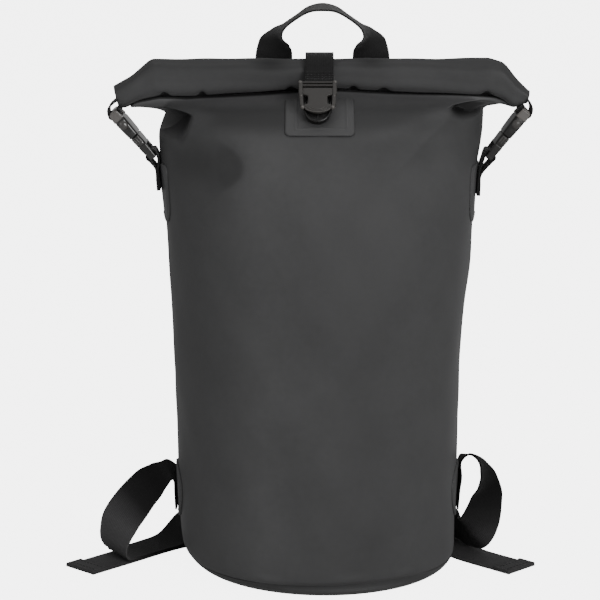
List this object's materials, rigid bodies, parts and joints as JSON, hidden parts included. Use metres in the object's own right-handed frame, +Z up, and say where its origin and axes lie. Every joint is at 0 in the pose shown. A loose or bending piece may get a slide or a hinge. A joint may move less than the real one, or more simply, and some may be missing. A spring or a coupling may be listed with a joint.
{
  "type": "roll-top waterproof backpack",
  "caption": "Tall round roll-top backpack of coated cloth with a rolled neck, buckled centre and side straps, a grab handle and padded shoulder straps.",
  "frame": {"origin": "middle of the round base, on the surface that the bag stands on", "axes": "+Z up, -Y towards the front with the centre buckle, +X to the right of someone who faces the front"},
  "size_m": [0.4304, 0.281, 0.51],
  "materials": {
    "tarpaulin": "smooth matte coated cloth, dark grey",
    "tarpaulin_patch": "smooth matte coated cloth, welded on, dark grey",
    "webbing": "ribbed woven strap, nearly black",
    "plastic": "satin moulded plastic, dark brownish grey",
    "padding": "woven cover over foam, black"
  },
  "bodies": {
    "root": {"bag_body": "tarpaulin", "base_panel": "tarpaulin", "roll_top": "tarpaulin", "front_patch": "tarpaulin_patch", "side_patch_left": "tarpaulin_patch", "side_patch_right": "tarpaulin_patch", "anchor_patch_left": "tarpaulin_patch", "anchor_patch_right": "tarpaulin_patch", "back_yoke": "tarpaulin_patch", "closure_strap": "webbing", "closure_anchor": "webbing", "closure_buckle_tongue": "plastic", "closure_buckle_socket": "plastic", "grab_handle": "webbing", "side_strap_left": "webbing", "side_strap_right": "webbing", "side_buckle_socket_left": "plastic", "side_buckle_socket_right": "plastic", "side_buckle_tongue_left": "plastic", "side_buckle_tongue_right": "plastic", "side_tab_left": "webbing", "side_tab_right": "webbing", "ladder_lock_left": "plastic", "ladder_lock_right": "plastic", "lock_loop_left": "webbing", "lock_loop_right": "webbing", "strap_webbing_left": "webbing", "strap_webbing_right": "webbing", "shoulder_strap_left": "padding", "shoulder_strap_right": "padding"}
  },
  "joints": []
}
